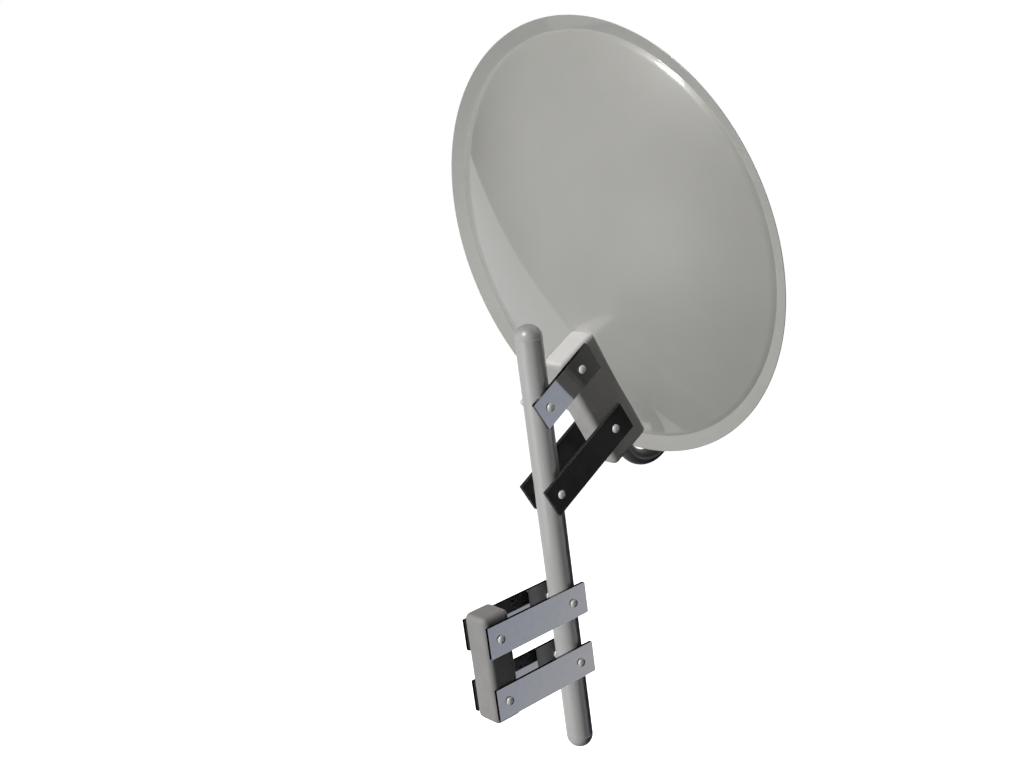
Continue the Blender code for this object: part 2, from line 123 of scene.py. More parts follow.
# feed arm and feed head
ARM_RADIUS = 12 * MM
ARM_BEND = 52 * MM
BEND_BELOW_BLOCK = 4.8 * MM
ARM_OFFSET = 17 * MM
ARM_SOCKET_TOP = -7 * MM
ARM_SCREW_UP = 10 * MM
FEED_DISTANCE = 191 * MM
CLAMP_AT = 44 * MM
CLAMP_HALF = 15 * MM
NECK = 19 * MM
ARM_END_DROP = 33 * MM
CLAMP_SCREW_Y = 30 * MM
CLAMP_SEAT = 8 * MM
LNB_START = 62 * MM
LNB_END = 112 * MM
LNB_HALF = 24 * MM
LNB_BOTTOM = -34 * MM
SEAM_X = 99 * MM
SEAM_DEPTH = 0.6 * MM
SEAM_WIDTH = 0.8 * MM
PLUG_X = 96 * MM
THREADS = 13
THREAD_PITCH = 0.8

RECORD = frame["record"]
BODY_OF = {n: b for b, nodes in RECORD["behaviour"]["bodies"].items() for n in nodes}
SLOT_OF = {row["node"]: row["material_slot"] for row in RECORD["subparts"]}
UP = Matrix.Identity(4)
TO_RIGHT = Matrix.Rotation(math.radians(90), 4, "X")
TO_LEFT = Matrix.Rotation(math.radians(-90), 4, "X")
STAND = Matrix(((0, 0, 1, 0), (1, 0, 0, 0), (0, 1, 0, 0), (0, 0, 0, 1)))


# ---------------------------------------------------------------- node helpers

class Nodes:
    """Short hand for building a material's node tree."""

    def __init__(self, tree):
        self.tree = tree

    def add(self, kind, **sockets):
        node = self.tree.nodes.new(kind)
        for name, value in sockets.items():
            self.put(node, name.replace("_", " "), value)
        return node

    def put(self, node, name, value):
        socket = node.inputs[int(name)] if name.isdigit() else node.inputs[name]
        if isinstance(value, bpy.types.NodeSocket):
            self.tree.links.new(value, socket)
        else:
            socket.default_value = value

    def math(self, operation, a, b):
        node = self.tree.nodes.new("ShaderNodeMath")
        node.operation = operation
        self.put(node, "0", a)
        self.put(node, "1", b)
        return node.outputs[0]

    def mix(self, factor, a, b):
        node = self.tree.nodes.new("ShaderNodeMix")
        node.data_type = "RGBA"
        for i, value in ((0, factor), (6, a), (7, b)):
            self.put(node, str(i), value)
        return node.outputs[2]

    def spread(self, value, low, high, out_low=0.0, out_high=1.0):
        node = self.tree.nodes.new("ShaderNodeMapRange")
        for name, item in (
                ("Value", value), ("From Min", low), ("From Max", high),
                ("To Min", out_low), ("To Max", out_high)):
            self.put(node, name, item)
        return node.outputs[0]

    def grain_place(self, stretch=(1.0, 1.0, 1.0), shift=0.0):
        """The piece's own coordinates in metres, stretched along its grain."""
        place = self.tree.nodes.new("ShaderNodeAttribute")
        place.attribute_name = "grain"
        mapped = self.add("ShaderNodeMapping", Vector=place.outputs["Vector"])
        mapped.inputs["Scale"].default_value = stretch
        mapped.inputs["Location"].default_value = (shift, shift * 0.7, shift * 1.3)
        return mapped.outputs[0]

    def noise(self, scale, detail=3.0, rough=0.55, stretch=(1.0, 1.0, 1.0), shift=0.0):
        node = self.add("ShaderNodeTexNoise", Vector=self.grain_place(stretch, shift))
        node.inputs["Scale"].default_value = scale
        node.inputs["Detail"].default_value = detail
        node.inputs["Roughness"].default_value = rough
        return node.outputs["Fac"]

    def cells(self, scale):
        node = self.add("ShaderNodeTexVoronoi", Vector=self.grain_place())
        node.inputs["Scale"].default_value = scale
        return node.outputs

    def edges(self, radius):
        """1 along outer edges within that distance, 0 on faces."""
        soft = self.add("ShaderNodeBevel")
        soft.samples = 4
        soft.inputs["Radius"].default_value = radius
        sharp = self.add("ShaderNodeNewGeometry")
        dot = self.tree.nodes.new("ShaderNodeVectorMath")
        dot.operation = "DOT_PRODUCT"
        self.put(dot, "0", soft.outputs[0])
        self.put(dot, "1", sharp.outputs["Normal"])
        return self.spread(dot.outputs["Value"], 0.995, 0.88)

    def bump(self, height, strength, distance):
        node = self.add("ShaderNodeBump", Height=height)
        node.inputs["Strength"].default_value = strength
        node.inputs["Distance"].default_value = distance
        return node.outputs[0]


def grey(value, warmth=0.0):
    return (value * (1 + warmth), value, value * (1 - warmth), 1.0)


def start_material(name):
    made = bpy.data.materials.new(name)
    made.use_nodes = True
    shader = made.node_tree.nodes["Principled BSDF"]
    return made, Nodes(made.node_tree), shader


def finish_material(nodes, shader, colour, roughness, normal):
    nodes.put(shader, "Base Color", colour)
    nodes.put(shader, "Roughness", roughness)
    nodes.put(shader, "Normal", normal)


# ---------------------------------------------------------------- materials

def dish_paint():
    """Light grey sprayed paint: soft clouding, dust specks, fine orange peel."""
    made, n, shader = start_material("dish_paint_fine")
    clouds = n.spread(n.noise(7.0, 5.0, 0.6), 0.3, 0.7, 0.0, 1.0)
    colour = n.mix(clouds, (0.425, 0.425, 0.408, 1.0), (0.455, 0.455, 0.436, 1.0))
    specks = n.spread(n.noise(900.0, 2.0, 0.7, shift=3.0), 0.66, 0.76, 0.0, 0.16)
    colour = n.mix(specks, colour, (0.27, 0.26, 0.235, 1.0))
    peel = n.noise(520.0, 2.0, 0.5)
    rough = n.spread(n.noise(60.0, 4.0, 0.6, shift=1.0), 0.3, 0.7, 0.34, 0.40)
    shader.inputs["Specular IOR Level"].default_value = 0.9
    shader.inputs["Coat Weight"].default_value = 1.0
    shader.inputs["Coat Roughness"].default_value = 0.05
    finish_material(n, shader, colour, rough, n.bump(peel, 0.05, 0.2 * MM))
    return made


def mast_paint():
    """Satin grey paint on a tube: faint lengthwise streaks and fine grain."""
    made, n, shader = start_material("mast_paint_fine")
    streaks = n.noise(60.0, 4.0, 0.6, stretch=(1.0, 1.0, 0.05))
    colour = n.mix(n.spread(streaks, 0.3, 0.7), grey(0.46), grey(0.52))
    dirt = n.spread(n.noise(14.0, 5.0, 0.7, shift=2.0), 0.56, 0.75, 0.0, 0.25)
    colour = n.mix(dirt, colour, grey(0.30, 0.03))
    rough = n.spread(n.noise(90.0, 3.0, shift=1.0), 0.3, 0.7, 0.31, 0.38)
    shader.inputs["Specular IOR Level"].default_value = 1.0
    height = n.math("ADD", n.noise(700.0, 2.0), n.math("MULTIPLY", streaks, 0.5))
    finish_material(n, shader, colour, rough, n.bump(height, 0.06, 0.2 * MM))
    return made


def cast_metal(name, level, painted_top_level):
    """Painted casting: sandy grain, shallow pits, worn edges, and upward faces painted lighter as
    painted light from above.
    """
    made, n, shader = start_material(name)
    tone = n.noise(40.0, 5.0, 0.6)
    colour = n.mix(n.spread(tone, 0.3, 0.7), grey(level * 0.94, 0.01), grey(level * 1.06, 0.01))
    facing = n.add("ShaderNodeSeparateXYZ", Vector=n.add("ShaderNodeNewGeometry").outputs["Normal"])
    # painted light: faces turned upward get a lighter colour, standing in for light falling from
    # above
    painted_top_light = n.spread(facing.outputs["Z"], 0.25, 0.85)
    painted_top_light = n.math("MULTIPLY", painted_top_light, n.spread(n.noise(25.0, 4.0), 0.2, 0.6, 0.8, 1.0))
    colour = n.mix(painted_top_light, colour, grey(painted_top_level, 0.01))
    wear = n.math("MULTIPLY", n.edges(2.0 * MM), n.spread(n.noise(160.0), 0.42, 0.62))
    colour = n.mix(n.math("MULTIPLY", wear, 0.35), colour, grey(0.66))
    grain = n.noise(1100.0, 3.0, 0.65)
    pits = n.spread(n.cells(420.0)["Distance"], 0.0, 0.16)
    height = n.math("ADD", n.math("MULTIPLY", grain, 0.7), n.math("MULTIPLY", pits, 0.5))
    rough = n.spread(tone, 0.3, 0.7, 0.40, 0.52)
    shader.inputs["Specular IOR Level"].default_value = 0.2
    finish_material(n, shader, colour, rough, n.bump(height, 0.10, 0.25 * MM))
    return made


def galvanised():
    """Bright zinc-coated strip: drawn lengthwise lines, faint spangle, worn edges."""
    made, n, shader = start_material("galvanised_steel_fine")
    spangle = n.cells(130.0)["Color"]
    tone = n.add("ShaderNodeSeparateColor", Color=spangle).outputs[0]
    lines = n.noise(900.0, 4.0, 0.6, stretch=(0.03, 1.0, 1.0))
    low = (0.140, 0.140, 0.143, 1.0)
    high = (0.162, 0.162, 0.166, 1.0)
    share = n.math("ADD", n.math("MULTIPLY", tone, 0.3), n.math("MULTIPLY", lines, 0.6))
    colour = n.mix(share, low, high)
    wear = n.math("MULTIPLY", n.edges(0.8 * MM), n.spread(n.noise(300.0), 0.4, 0.6))
    colour = n.mix(n.math("MULTIPLY", wear, 0.4), colour, grey(0.5))
    rough = n.spread(lines, 0.3, 0.7, 0.03, 0.06)
    shader.inputs["Metallic"].default_value = 1.0
    finish_material(n, shader, colour, rough, n.bump(lines, 0.006, 0.05 * MM))
    return made


def dark_paint():
    """Dark satin paint on steel strip, rubbed lighter along its edges."""
    made, n, shader = start_material("dark_paint_fine")
    tone = n.noise(50.0, 5.0, 0.6)
    colour = n.mix(n.spread(tone, 0.3, 0.7), grey(0.026), grey(0.040))
    wear = n.math("MULTIPLY", n.edges(1.2 * MM), n.spread(n.noise(240.0), 0.35, 0.6))
    colour = n.mix(n.math("MULTIPLY", wear, 0.75), colour, grey(0.34))
    grain = n.noise(800.0, 3.0, 0.6)
    rough = n.spread(tone, 0.3, 0.7, 0.36, 0.48)
    shader.inputs["Specular IOR Level"].default_value = 0.12
    finish_material(n, shader, colour, rough, n.bump(grain, 0.08, 0.15 * MM))
    return made


def bright_steel():
    """Polished fasteners: light grey metal with turning marks and smudges."""
    made, n, shader = start_material("polished_steel_fine")
    smudge = n.noise(260.0, 4.0, 0.6)
    colour = n.mix(n.spread(smudge, 0.3, 0.7), grey(0.72), grey(0.82))
    turning = n.noise(500.0, 2.0, 0.5, stretch=(0.15, 0.15, 3.0))
    rough = n.spread(smudge, 0.3, 0.7, 0.30, 0.40)
    shader.inputs["Metallic"].default_value = 0.12
    shader.inputs["Specular IOR Level"].default_value = 0.9
    finish_material(n, shader, colour, rough, n.bump(turning, 0.03, 0.1 * MM))
    return made


def arm_paint():
    """Near-black powder coat with a fine ripple."""
    made, n, shader = start_material("arm_paint_fine")
    tone = n.noise(30.0, 4.0, 0.6)
    colour = n.mix(n.spread(tone, 0.3, 0.7), grey(0.085), grey(0.12))
    ripple = n.noise(900.0, 3.0, 0.6)
    rough = n.spread(tone, 0.3, 0.7, 0.32, 0.42)
    finish_material(n, shader, colour, rough, n.bump(ripple, 0.12, 0.2 * MM))
    return made


def plastic(name, low, high, rough_low, rough_high, scale, strength):
    """Moulded plastic between two tones: pebbled texture and scuffed edges."""
    made, n, shader = start_material(name)
    tone = n.noise(35.0, 4.0, 0.6)
    colour = n.mix(n.spread(tone, 0.3, 0.7), low, high)
    scuff = n.math("MULTIPLY", n.edges(1.0 * MM), n.spread(n.noise(300.0), 0.45, 0.6))
    lighter = tuple(min(1.0, c * 1.25 + 0.03) for c in high[:3]) + (1.0,)
    colour = n.mix(n.math("MULTIPLY", scuff, 0.4), colour, lighter)
    texture = n.spread(n.cells(scale)["Distance"], 0.0, 0.6)
    rough = n.spread(n.noise(120.0, shift=2.0), 0.3, 0.7, rough_low, rough_high)
    finish_material(n, shader, colour, rough, n.bump(texture, strength, 0.08 * MM))
    return made


MATERIALS = {
    "dish_paint": dish_paint(),
    "mast_paint": mast_paint(),
    # last number of each casting: the lighter colour painted onto its upward faces as painted light
    # from above
    "cast_aluminium": cast_metal("cast_aluminium_fine", 0.30, 0.37),
    "dish_block": cast_metal("dish_block_fine", 0.42, 0.90),
    "galvanised_steel": galvanised(),
    "dark_paint": dark_paint(),
    "polished_steel": bright_steel(),
    "arm_paint": arm_paint(),
    "black_plastic": plastic(
        "black_plastic_fine", grey(0.028), grey(0.045), 0.45, 0.6, 1500.0, 0.25),
    "lnb_plastic": plastic(
        "lnb_plastic_fine", grey(0.46, 0.01), grey(0.52, 0.01), 0.42, 0.55, 1300.0, 0.15),
    "feed_cap_plastic": plastic(
        "feed_cap_plastic_fine", grey(0.68, 0.02), grey(0.74, 0.02), 0.3, 0.42, 900.0, 0.06),
}
MATERIALS["mast_cap"] = MATERIALS["mast_paint"]


# ---------------------------------------------------------------- mesh helpers

def new_object(name, mesh):
    item = bpy.data.objects.new(name, mesh)
    bpy.context.scene.collection.objects.link(item)
    return item


def applied(item):
    """The object's mesh with its modifiers applied; the object is removed."""
    graph = bpy.context.evaluated_depsgraph_get()
    mesh = bpy.data.meshes.new_from_object(
        item.evaluated_get(graph), preserve_all_data_layers=True, depsgraph=graph)
    for modifier in list(item.modifiers):
        helper = getattr(modifier, "object", None)
        item.modifiers.remove(modifier)
        if helper is not None:
            bpy.data.objects.remove(helper)
    bpy.data.objects.remove(item)
    return mesh


def finish_piece(node, mesh, place, sharp=32.0):
    """Turns a mesh in its own frame into the piece that stands for a CAD node."""
    mesh.name = node + "_fine"
    for polygon in mesh.polygons:
        polygon.use_smooth = True
    mesh.set_sharp_from_angle(angle=math.radians(sharp))
    grain = mesh.attributes.new("grain", "FLOAT_VECTOR", "POINT")
    flat = [value for vertex in mesh.vertices for value in vertex.co]
    grain.data.foreach_set("vector", flat)
    mesh.transform(place)
    mesh.materials.clear()
    mesh.materials.append(MATERIALS.get(node) or MATERIALS[SLOT_OF[node]])
    item = new_object(node + "_fine", mesh)
    weighted = item.modifiers.new("weighted", "WEIGHTED_NORMAL")
    weighted.keep_sharp = True
    weighted.weight = 60
    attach(item, BODY_OF[node])
    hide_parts(node)


def lathe_mesh(name, profile, steps, closed=False):
    """Turns (radius, height) points round Z. Points on the axis become single vertices."""
    mesh = bpy.data.meshes.new(name)
    work = bmesh.new()
    rings = []
    for radius, height in profile:
        if radius < 1e-7:
            rings.append([work.verts.new((0.0, 0.0, height))])
            continue
        ring = []
        for i in range(steps):
            angle = 2 * math.pi * i / steps
            x, y = radius * math.cos(angle), radius * math.sin(angle)
            ring.append(work.verts.new((x, y, height)))
        rings.append(ring)
    pairs = list(zip(rings, rings[1:]))
    if closed:
        pairs.append((rings[-1], rings[0]))
    for first, second in pairs:
        for i in range(steps):
            j = (i + 1) % steps
            if len(first) == 1 and len(second) == 1:
                continue
            if len(first) == 1:
                work.faces.new((first[0], second[i], second[j]))
            elif len(second) == 1:
                work.faces.new((first[i], second[0], first[j]))
            else:
                work.faces.new((first[i], second[i], second[j], first[j]))
    bmesh.ops.recalc_face_normals(work, faces=work.faces)
    work.to_mesh(mesh)
    work.free()
    return mesh


def arc(centre_r, centre_h, radius, start, end, count):
    """Points from one angle to the other, in degrees."""
    points = []
    for i in range(count + 1):
        angle = math.radians(start + (end - start) * i / count)
        points.append((centre_r + radius * math.cos(angle), centre_h + radius * math.sin(angle)))
    return points


def circle(x, y, radius, count=40):
    angles = [2 * math.pi * i / count for i in range(count)]
    return [(x + radius * math.cos(a), y + radius * math.sin(a)) for a in angles]


def rectangle(x0, y0, x1, y1):
    return [(x0, y0), (x1, y0), (x1, y1), (x0, y1)]


def flat_mesh(name, outlines, thick):
    """A sheet of that thickness in the XY plane; the outlines after the first are holes."""
    curve = bpy.data.curves.new(name, "CURVE")
    curve.dimensions = "2D"
    curve.fill_mode = "BOTH"
    curve.extrude = thick / 2
    for outline in outlines:
        spline = curve.splines.new("POLY")
        spline.points.add(len(outline) - 1)
        for point, (x, y) in zip(spline.points, outline):
            point.co = (x, y, 0.0, 1.0)
        spline.use_cyclic_u = True
    holder = new_object(name + "_curve", curve)
    mesh = bpy.data.meshes.new_from_object(holder)
    bpy.data.objects.remove(holder)
    work = bmesh.new()
    work.from_mesh(mesh)
    bmesh.ops.remove_doubles(work, verts=work.verts, dist=0.00001)
    bmesh.ops.dissolve_limit(
        work, angle_limit=0.01, verts=work.verts, edges=work.edges, delimit={"NORMAL"})
    bmesh.ops.recalc_face_normals(work, faces=work.faces)
    work.to_mesh(mesh)
    work.free()
    return mesh


def box_mesh(name, low, high):
    mesh = bpy.data.meshes.new(name)
    work = bmesh.new()
    bmesh.ops.create_cube(work, size=1.0)
    bmesh.ops.scale(work, vec=Vector(high) - Vector(low), verts=work.verts)
    bmesh.ops.translate(work, vec=(Vector(high) + Vector(low)) / 2, verts=work.verts)
    work.to_mesh(mesh)
    work.free()
    return mesh


def bevel(item, width, segments, angle=30.0):
    """Rounds the edges that are sharper than the angle in degrees."""
    modifier = item.modifiers.new("bevel", "BEVEL")
    modifier.width = width
    modifier.segments = segments
    modifier.limit_method = "ANGLE"
    modifier.angle_limit = math.radians(angle)


def combine(item, mesh, place, operation="DIFFERENCE"):
    """Cuts the mesh out of the object, or joins the two where the operation is UNION."""
    helper = new_object("helper", mesh)
    helper.matrix_world = place
    helper.hide_render = True
    modifier = item.modifiers.new("cut", "BOOLEAN")
    modifier.operation = operation
    modifier.solver = "EXACT"
    modifier.object = helper
    bpy.context.view_layer.update()


def bore(item, radius, start, end, steps=32):
    """Cuts a round hole between two points."""
    start, end = Vector(start), Vector(end)
    length = (end - start).length
    place = Matrix.Translation(start) @ (end - start).to_track_quat("Z", "Y").to_matrix().to_4x4()
    profile = [(0.0, 0.0), (radius, 0.0), (radius, length), (0.0, length)]
    combine(item, lathe_mesh("bore", profile, steps), place)


def at(x, y, z):
    return Matrix.Translation((x, y, z))


def pivot(point):
    return Vector((MAST_X + point[0], 0.0, point[1]))


# ---------------------------------------------------------------- fasteners

def bolt_head(radius, height):
    """Domed head: small flat flange, then a smooth crown."""
    flange = 0.16 * height
    crown = height - flange
    points = [(0.0, height)]
    for i in range(1, 11):
        angle = math.radians(90 - 9 * i)
        points.append((radius * 0.985 * math.cos(angle), flange + crown * math.sin(angle)))
    return points + [(radius, flange * 0.8), (radius, 0.0)]


def dome_bolt(node, x, z, head_y, end_y):
    """Bolt along Y with its head on the -Y side and a chamfered tip."""
    length = end_y - head_y
    tip = [(SHANK, -length + 0.8 * MM), (SHANK - 0.8 * MM, -length), (0.0, -length)]
    profile = bolt_head(HEAD, HEAD_HEIGHT) + [(SHANK, 0.0)] + tip
    finish_piece(node, lathe_mesh(node, profile, 48), at(x, head_y, z) @ TO_RIGHT)


def dome_nut(node, x, z, base_y):
    """Cap nut: hexagon with chamfered corners below a smooth dome."""
    dome = [(0.0, NUT_HEIGHT)]
    for i in range(1, 11):
        angle = math.radians(90 - 9 * i)
        height = NUT_BASE + (NUT_HEIGHT - NUT_BASE) * math.sin(angle)
        dome.append((NUT_RADIUS * math.cos(angle), height))
    inside = [(HOLE, 0.5 * MM), (HOLE, NUT_DEPTH), (0.0, NUT_DEPTH)]
    profile = dome + [(NUT_RADIUS, 0.5 * MM)] + inside
    item = new_object(node + "_work", lathe_mesh(node, profile, 48))
    outlines = [circle(0, 0, HEAD, 6), circle(0, 0, HOLE + 0.2 * MM, 32)]
    hexagon = flat_mesh("hexagon", outlines, NUT_BASE)
    hexagon.transform(at(0, 0, NUT_BASE / 2))
    holder = new_object("hexagon", hexagon)
    bevel(holder, 0.35 * MM, 2, 40.0)
    combine(item, applied(holder), UP, "UNION")
    finish_piece(node, applied(item), at(x, base_y, z) @ TO_LEFT, 28.0)


def ring_spacer(node, x, z, start_y, end_y, radius):
    """Round tube along Y with chamfered ends."""
    length = end_y - start_y
    edge = min(0.4 * MM, length / 6)
    profile = [
        (HOLE, length), (radius - edge, length), (radius, length - edge),
        (radius, edge), (radius - edge, 0.0), (HOLE, 0.0)]
    finish_piece(node, lathe_mesh(node, profile, 40, True), at(x, start_y, z) @ TO_LEFT)


def dome_spacer(node, x, z, side):
    """Domed spacer between a strap and the mast; side is -1 or 1."""
    height = DOME_SPACER_HEIGHT
    curve = [(4.9 * MM, height), (5.7 * MM, 0.84 * height), (6.4 * MM, 0.58 * height),
             (6.85 * MM, 0.28 * height), (SPACER_RADIUS, 0.0)]
    profile = [(HOLE, height)] + curve + [(HOLE, 0.0)]
    turn = Matrix.Rotation(math.radians(90 * side), 4, "X")
    finish_piece(node, lathe_mesh(node, profile, 40, True), at(x, side * HALF_WIDTH, z) @ turn)


def bolt_pair(label, x, z, nut_y):
    """A bolt through both sides and the nut that closes it at nut_y."""
    head_y = -(HALF_WIDTH + GAP + PLATE_THICK + GAP)
    dome_bolt(label + "_bolt", x, z, head_y, nut_y + BOLT_PAST_NUT_SEAT)
    dome_nut(label + "_nut", x, z, nut_y)


# ---------------------------------------------------------------- wall side and mast

def build_wall_bracket():
    low = (0.0, -HALF_WIDTH, WALL_BOTTOM)
    high = (WALL_DEPTH, HALF_WIDTH, WALL_TOP)
    item = new_object("bracket_work", box_mesh("bracket", low, high))
    bevel(item, BLOCK_ROUNDING, 9)
    for z in (STRAP_LEVEL, -STRAP_LEVEL):
        bore(item, HOLE, (WALL_PIN_X, -THROUGH, z), (WALL_PIN_X, THROUGH, z))
    finish_piece("wall_bracket", applied(item), UP)


def plate_place(x, y, z, turn):
    """Stands a strap upright; its length rises by turn from +X towards +Z."""
    return at(x, y, z) @ Matrix.Rotation(-turn, 4, "Y") @ TO_RIGHT


def plate(node, pins, start, end, place, high_hole=HOLE):
    """Flat strap in the XY plane with small rounded corners and two holes."""
    corner = 1.2 * MM
    outline = []
    for x, y, first in (
            (start, -STRAP_HALF, 180), (end, -STRAP_HALF, 270),
            (end, STRAP_HALF, 0), (start, STRAP_HALF, 90)):
        side_x = corner if x == start else -corner
        side_y = corner if y < 0 else -corner
        outline += arc(x + side_x, y + side_y, corner, first, first + 90, 4)
    holes = [circle(pins[0], 0.0, HOLE), circle(pins[1], 0.0, high_hole)]
    item = new_object(node + "_work", flat_mesh(node, [outline] + holes, PLATE_THICK))
    bevel(item, 0.5 * MM, 3)
    finish_piece(node, applied(item), place)


def build_wall_straps():
    side_y = HALF_WIDTH + GAP + PLATE_THICK / 2
    nut_y = HALF_WIDTH + 2 * GAP + PLATE_THICK
    for level, z in (("upper", STRAP_LEVEL), ("lower", -STRAP_LEVEL)):
        for side, y in (("right", -side_y), ("left", side_y)):
            plate("wall_strap_" + level + "_" + side, [WALL_PIN_X, MAST_PIN_X],
                  STRAP_START, STRAP_END, plate_place(0.0, y, z, 0.0))
        bolt_pair("wall_" + level, WALL_PIN_X, z, nut_y)
        bolt_pair("mast_" + level, MAST_PIN_X, z, nut_y)
        dome_spacer("mast_spacer_" + level + "_right", MAST_PIN_X, z, -1)
        dome_spacer("mast_spacer_" + level + "_left", MAST_PIN_X, z, 1)


def build_mast():
    edge = 0.25 * MM
    levels = [MAST_TOP - edge - (MAST_TOP - MAST_BOTTOM - 2 * edge) * i / 40 for i in range(41)]
    outer = [(MAST_RADIUS - edge, MAST_TOP)] + [(MAST_RADIUS, z) for z in levels]
    profile = [(MAST_BORE, MAST_TOP)] + outer
    profile += [(MAST_RADIUS - edge, MAST_BOTTOM), (MAST_BORE, MAST_BOTTOM)]
    item = new_object("mast_work", lathe_mesh("mast", profile, 96, True))
    pin = MAST_PIN_X - MAST_X
    holes = [(pin, STRAP_LEVEL), (pin, -STRAP_LEVEL), PIVOT_A, PIVOT_B]
    for x, z in holes:
        bore(item, HOLE, (x, -30 * MM, z), (x, 30 * MM, z))
    finish_piece("mast_tube", applied(item), at(MAST_X, 0, 0))
    for node, z, turn in (
            ("mast_cap_top", MAST_TOP + GAP, 0), ("mast_cap_bottom", MAST_BOTTOM - GAP, 180)):
        plug = MAST_BORE - GAP
        dome = [(0.0, MAST_RADIUS)] + arc(0.0, 0.0, MAST_RADIUS, 86, 0, 24)
        foot = [(plug, 0.0), (plug, -15 * MM), (plug - 1 * MM, -PLUG_LENGTH), (0.0, -PLUG_LENGTH)]
        place = at(MAST_X, 0, z) @ Matrix.Rotation(math.radians(turn), 4, "X")
        finish_piece(node, lathe_mesh(node, dome + foot, 96), place)


# ---------------------------------------------------------------- tilt linkage

def link_between(node, low, high, y, high_hole=HOLE):
    first, second = pivot(low), pivot(high)
    reach = second - first
    place = plate_place(first.x, y, first.z, math.atan2(reach.z, reach.x))
    plate(node, [0.0, reach.length], -LINK_LOW_END, reach.length + LINK_HIGH_END, place, high_hole)


def build_links():
    side_y = HALF_WIDTH + GAP + PLATE_THICK / 2
    nut_y = HALF_WIDTH + 2 * GAP + PLATE_THICK
    inner = MAST_RADIUS + GAP
    link_between("tilt_link_upper", PIVOT_A, PIVOT_C, -side_y, SLACK_HOLE)
    link_between("tilt_link_lower_right", PIVOT_B, PIVOT_D, -side_y)
    link_between("tilt_link_lower_left", PIVOT_B, PIVOT_D, side_y)
    a, b, c, d = (pivot(point) for point in (PIVOT_A, PIVOT_B, PIVOT_C, PIVOT_D))
    bolt_pair("link_upper_mast", a.x, a.z, UPPER_NUT_Y)
    bolt_pair("link_lower_mast", b.x, b.z, nut_y)
    bolt_pair("link_upper_block", c.x, c.z, HALF_WIDTH + GAP)
    bolt_pair("link_lower_block", d.x, d.z, nut_y)
    ring_spacer("link_spacer_upper_right", a.x, a.z, -HALF_WIDTH, -inner, SPACER_RADIUS)
    ring_spacer("link_spacer_upper_left", a.x, a.z, inner, UPPER_NUT_Y - GAP,
                SMALL_SPACER_RADIUS)
    ring_spacer("link_spacer_lower_right", b.x, b.z, -HALF_WIDTH, -inner, SPACER_RADIUS)
    ring_spacer("link_spacer_lower_left", b.x, b.z, inner, HALF_WIDTH, SPACER_RADIUS)


def block_place():
    """Frame of the dish block: origin on the lower pivot, tilted back."""
    point = pivot(PIVOT_D)
    return at(point.x, 0.0, point.z) @ Matrix.Rotation(-BLOCK_TILT, 4, "Y")


# ---------------------------------------------------------------- reflector and its block

def dish_place():
    """Frame of the reflector: Z along its axis, away from the wall."""
    turn = math.radians(90) - DISH_ELEVATION
    return Matrix.Translation(DISH_CENTRE) @ Matrix.Rotation(turn, 4, "Y")


def back_height(radius):
    """Height of the bowl's back along the reflector's axis."""
    return DISH_BODY_HEIGHT - (DISH_BODY ** 2 - radius ** 2) / (4 * DISH_FOCAL)


def back_points():
    """The sheet's back from the middle out: bowl, shoulder, rounded crease, lip."""
    points = [(DISH_BODY * i / 60, back_height(DISH_BODY * i / 60)) for i in range(60)]
    radius, height = DISH_BODY, DISH_BODY_HEIGHT
    points.append((radius, height))
    for i in range(12):
        radius += 0.6 * MM
        height += 0.6 * MM * math.tan(math.radians(29.6 + 1.4 * i))
        points.append((radius, height))
    points += [(r * MM, h * MM) for r, h in (
        (309.75, 10.0), (310.35, 10.1), (311.0, 9.85), (313.0, 8.9))]
    count = 8
    for i in range(1, count + 1):
        share = i / count
        points.append(((313.0 + 17.2 * share) * MM, (8.9 - 8.5 * share) * MM))
    return points


def offset_points(points, distance):
    """The line moved sideways by that distance, towards the front of the sheet."""
    made = []
    for i, (r, h) in enumerate(points):
        before = points[max(i - 1, 0)]
        after = points[min(i + 1, len(points) - 1)]
        along = Vector((after[0] - before[0], after[1] - before[1])).normalized()
        if i == 0:
            along = Vector((1.0, 0.0))
        made.append((r - along.y * distance, h + along.x * distance))
    return made


def build_reflector():
    back = back_points()
    front = offset_points(back, SHEET)
    front[0] = (0.0, back[0][1] + SHEET)
    last_back, last_front = Vector(back[-1]), Vector(front[-1])
    middle = (last_back + last_front) / 2
    half = (last_front - last_back) / 2
    out = Vector((half.y, -half.x))
    bead = []
    for i in range(1, 8):
        angle = math.radians(90 - 180 * i / 8)
        point = middle + half * math.sin(angle) + out * math.cos(angle)
        bead.append((point.x, point.y))
    profile = front + bead + list(reversed(back))
    item = new_object("reflector_work", lathe_mesh("reflector", profile, 256))
    frame_turn = dish_place().inverted() @ block_place()
    for y, z in PANEL_SPOTS:
        start = frame_turn @ Vector((35 * MM, y, z))
        end = frame_turn @ Vector((80 * MM, y, z))
        bore(item, PANEL_HOLE, start, end, 24)
    finish_piece("reflector", applied(item), dish_place(), 40.0)


def front_reach(y, z):
    """Distance along the block's own +X at which a line meets the front of the sheet."""
    turn = dish_place().inverted() @ block_place()
    low, high = FRONT_SEARCH
    for _ in range(40):
        middle = (low + high) / 2
        point = turn @ Vector((middle, y, z))
        if point.z < back_height(math.hypot(point.x, point.y)) + SHEET * SLOPE_SHARE:
            low = middle
        else:
            high = middle
    return high


